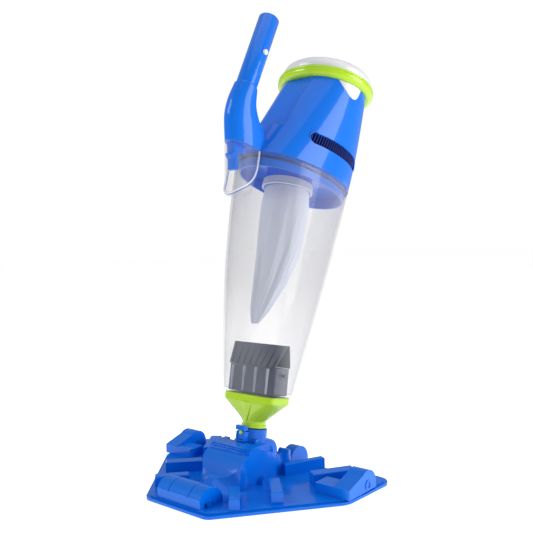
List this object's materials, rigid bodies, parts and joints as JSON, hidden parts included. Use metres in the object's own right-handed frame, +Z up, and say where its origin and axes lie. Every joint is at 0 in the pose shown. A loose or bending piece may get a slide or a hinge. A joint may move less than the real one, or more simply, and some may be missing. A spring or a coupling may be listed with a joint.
{
  "type": "battery pool vacuum with wheeled vacuum head",
  "caption": "Hand-held battery pool vacuum: winged wheeled head, tilting neck, clear debris chamber with filter bag, motor unit and pole socket.",
  "frame": {"origin": "centre of the part's bounding box at floor level", "axes": "+Z up, -Y towards the nose of the head, X along the width of the head"},
  "size_m": [0.2736, 0.3364, 0.5239],
  "materials": {
    "blue": "satin",
    "lime": "satin",
    "clear": "satin",
    "white": "satin",
    "smoke": "satin",
    "steel": "satin",
    "mesh": "satin",
    "rubber": "satin",
    "grey": "satin",
    "board": "satin",
    "cell": "satin",
    "bristle": "satin",
    "iron": "satin"
  },
  "bodies": {
    "head": {"base_plate": "blue", "duct_cover": "blue", "nose_cover": "blue", "nose_axle": "steel", "brush_strips": "bristle", "head_screws": "steel", "wing_hood_right": "blue", "wing_hood_left": "blue", "ballast_right": "iron", "ballast_left": "iron", "side_axle_right": "steel", "side_axle_left": "steel", "rear_hump_right": "blue", "rear_hump_left": "blue", "rear_axle_right": "steel", "rear_axle_left": "steel", "neck_pin": "steel"},
    "vac_body": {"bag_cuff": "rubber", "battery_cells": "cell", "bumper_ring": "lime", "button_spring": "steel", "chamber": "clear", "chamber_seal": "rubber", "clip_spring": "steel", "control_board": "board", "fan_ring": "grey", "filter_bag": "mesh", "frame_disc": "grey", "funnel": "lime", "handle": "blue", "latch_pin": "steel", "motor_can": "grey", "motor_housing": "blue", "motor_plate": "grey", "neck_collar": "blue", "neck_seal": "rubber", "pole_stub": "blue", "port_plug": "white", "release_pin": "steel", "shaft_seal": "rubber", "top_cap": "white", "valve_box": "smoke", "vent_grille_left": "grey", "vent_grille_right": "grey"},
    "nose_roller": {"nose_roller": "grey"},
    "side_wheel_right": {"side_wheel_right": "grey"},
    "side_wheel_left": {"side_wheel_left": "grey"},
    "rear_wheel_right": {"rear_wheel_right": "grey"},
    "rear_wheel_left": {"rear_wheel_left": "grey"},
    "collar_latch": {"latch_lever": "blue"},
    "latch_button": {"latch_button": "lime"},
    "valve_lip_front": {"valve_lip_front": "smoke"},
    "valve_lip_rear": {"valve_lip_rear": "smoke"},
    "release_latch": {"release_latch": "blue"},
    "rotor": {"impeller": "grey", "motor_shaft": "steel"},
    "power_button": {"power_button": "white"},
    "snap_button_right": {"snap_button_right": "white"},
    "snap_button_left": {"snap_button_left": "white"}
  },
  "joints": [
    {"name": "neck_tilt", "type": "hinge", "parent": "head", "child": "vac_body", "pos_m": [0, -0.05078, 0.028], "axis": [1, 0, 0], "range_deg": [-45, 0]},
    {"name": "nose_roller_spin", "type": "hinge", "parent": "head", "child": "nose_roller", "pos_m": [0, -0.14808, 0.0063], "axis": [1, 0, 0], "continuous": true},
    {"name": "side_wheel_right_spin", "type": "hinge", "parent": "head", "child": "side_wheel_right", "pos_m": [0.1254, -0.02278, 0.011], "axis": [1, 0, 0], "continuous": true},
    {"name": "rear_wheel_right_spin", "type": "hinge", "parent": "head", "child": "rear_wheel_right", "pos_m": [0.02325, -0.00148, 0.011], "axis": [1, 0, 0], "continuous": true},
    {"name": "side_wheel_left_spin", "type": "hinge", "parent": "head", "child": "side_wheel_left", "pos_m": [-0.1254, -0.02278, 0.011], "axis": [1, 0, 0], "continuous": true},
    {"name": "rear_wheel_left_spin", "type": "hinge", "parent": "head", "child": "rear_wheel_left", "pos_m": [-0.02325, -0.00148, 0.011], "axis": [1, 0, 0], "continuous": true},
    {"name": "collar_latch_swing", "type": "hinge", "parent": "vac_body", "child": "collar_latch", "pos_m": [0, -0.06606, 0.05029], "axis": [1, 0, 0], "range_deg": [0, 16], "stiffness_Nm_per_rad": 0.03},
    {"name": "latch_button_press", "type": "slide", "parent": "collar_latch", "child": "latch_button", "axis": [0, 0.9816, -0.1908], "range_m": [0, 0.0008], "stiffness_N_per_m": 300},
    {"name": "valve_front_open", "type": "hinge", "parent": "vac_body", "child": "valve_lip_front", "pos_m": [0, -0.0464, 0.12578], "axis": [1, 0, 0], "range_deg": [0, 20], "stiffness_Nm_per_rad": 0.004},
    {"name": "valve_rear_open", "type": "hinge", "parent": "vac_body", "child": "valve_lip_rear", "pos_m": [0, -0.01852, 0.12036], "axis": [1, 0, 0], "range_deg": [-20, 0]},
    {"name": "release_latch_swing", "type": "hinge", "parent": "vac_body", "child": "release_latch", "pos_m": [0, -0.05878, 0.3805], "axis": [1, 0, 0], "range_deg": [0, 6], "stiffness_Nm_per_rad": 0.12},
    {"name": "fan_spin", "type": "hinge", "parent": "vac_body", "child": "rotor", "pos_m": [0, 0.03864, 0.36283], "axis": [0, 0.3007, 0.9537], "continuous": true},
    {"name": "power_button_press", "type": "slide", "parent": "vac_body", "child": "power_button", "axis": [0, -0.3007, -0.9537], "range_m": [0, 0.0012], "stiffness_N_per_m": 600},
    {"name": "snap_button_right_press", "type": "slide", "parent": "vac_body", "child": "snap_button_right", "axis": [-1, 0, 0], "range_m": [0, 0.002], "stiffness_N_per_m": 500},
    {"name": "snap_button_left_press", "type": "slide", "parent": "vac_body", "child": "snap_button_left", "axis": [1, 0, 0], "range_m": [0, 0.002], "stiffness_N_per_m": 500}
  ],
  "couplings": [
    {"joint": "valve_rear_open", "follows": "valve_front_open", "ratio": -1}
  ]
}
